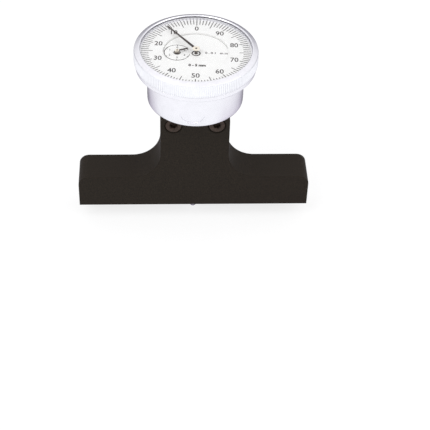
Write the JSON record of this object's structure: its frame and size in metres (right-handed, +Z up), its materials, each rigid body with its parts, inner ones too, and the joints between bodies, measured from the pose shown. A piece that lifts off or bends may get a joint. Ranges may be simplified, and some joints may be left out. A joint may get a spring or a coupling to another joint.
{
  "type": "depth gauge",
  "caption": "Dial depth gauge: a back-plunger dial indicator clamped in an inverted-T base, whose plunger measures down from the base's flat underside.",
  "frame": {"origin": "centre of the base's flat measuring face, on the plunger's axis", "axes": "+X along the base, +Y to the back of the base, +Z up through the stem to the dial; the dial's top is towards +Y"},
  "size_m": [0.1014, 0.0512, 0.0878],
  "materials": {
    "blackened_steel": "matt black oxide",
    "screw_steel": "dark, slightly oiled",
    "ground_steel": "ground",
    "satin_chrome": "satin chrome plate",
    "bronze": "turned",
    "brass": "lacquered",
    "spring_steel": "drawn wire",
    "dial_enamel": "matt white enamel with printed figures",
    "crystal": "clear, polished",
    "satin_aluminium": "satin",
    "polished_steel": "polished",
    "hub_brass": "bright",
    "hand_black": "satin black lacquer"
  },
  "bodies": {
    "gauge_frame": {"base_plate": "blackened_steel", "clamp_screws": "screw_steel", "stem": "ground_steel", "stem_nut": "satin_chrome", "upper_bush": "bronze", "lower_bush": "bronze", "case": "satin_chrome", "movement_posts": "brass", "lower_plate": "brass", "plate_pillars": "brass", "upper_plate": "brass", "plate_screws": "screw_steel", "arbor_bush": "bronze", "pinion_bracket": "ground_steel", "guide_rail": "ground_steel", "bracket_screws": "screw_steel", "hairspring_stud": "brass", "hairspring": "spring_steel", "bezel_retaining_ring": "spring_steel", "dial_centre": "dial_enamel"},
    "bezel": {"bezel": "satin_chrome", "crystal": "crystal", "crystal_spacer": "satin_aluminium", "dial_ring": "dial_enamel", "dial_clip": "spring_steel"},
    "plunger": {"spindle": "ground_steel", "spring_collar": "ground_steel", "guide_pin": "ground_steel", "contact_point": "ground_steel", "contact_ball": "polished_steel", "return_spring": "spring_steel"},
    "rack_arbor": {"rack_arbor": "ground_steel", "rack_pinion": "brass", "crown_gear": "brass"},
    "intermediate_arbor": {"intermediate_arbor": "ground_steel", "drive_pinion": "ground_steel", "intermediate_gear": "brass", "counter_pinion": "brass"},
    "main_hand": {"centre_arbor": "ground_steel", "centre_pinion": "ground_steel", "main_hand_hub": "hub_brass", "main_hand": "hand_black"},
    "counter_hand": {"counter_arbor": "ground_steel", "counter_gear": "brass", "hairspring_collet": "brass", "small_hand_hub": "hub_brass", "small_hand": "hand_black"}
  },
  "joints": [
    {"name": "plunger_slide", "type": "slide", "parent": "gauge_frame", "child": "plunger", "axis": [0, 0, 1], "range_m": [0, 0.0075], "stiffness_N_per_m": 70, "springref_m": -0.013, "deforming": ["return_spring"]},
    {"name": "bezel_turn", "type": "hinge", "parent": "gauge_frame", "child": "bezel", "pos_m": [0, 0, 0.076], "axis": [0, 0, 1], "continuous": true},
    {"name": "rack_arbor_turn", "type": "hinge", "parent": "gauge_frame", "child": "rack_arbor", "pos_m": [-0.00433, 0.0003, 0.06], "axis": [0.0698, 0.9976, 0], "range_deg": [-182, 2]},
    {"name": "intermediate_turn", "type": "hinge", "parent": "gauge_frame", "child": "intermediate_arbor", "pos_m": [-0.00492, -0.00824, 0.072], "axis": [0, 0, 1], "range_deg": [-4, 544]},
    {"name": "main_hand_turn", "type": "hinge", "parent": "gauge_frame", "child": "main_hand", "pos_m": [0, 0, 0.072], "axis": [0, 0, 1], "range_deg": [-2710, 10]},
    {"name": "counter_hand_turn", "type": "hinge", "parent": "gauge_frame", "child": "counter_hand", "pos_m": [-0.00778, 0.00054, 0.072], "axis": [0, 0, 1], "range_deg": [-454, 4]}
  ],
  "couplings": [
    {"joint": "rack_arbor_turn", "follows": "plunger_slide", "rad_per_m": -418.88},
    {"joint": "intermediate_turn", "follows": "plunger_slide", "rad_per_m": 1256.6},
    {"joint": "main_hand_turn", "follows": "plunger_slide", "rad_per_m": -6283.2},
    {"joint": "counter_hand_turn", "follows": "plunger_slide", "rad_per_m": -1047.2}
  ]
}
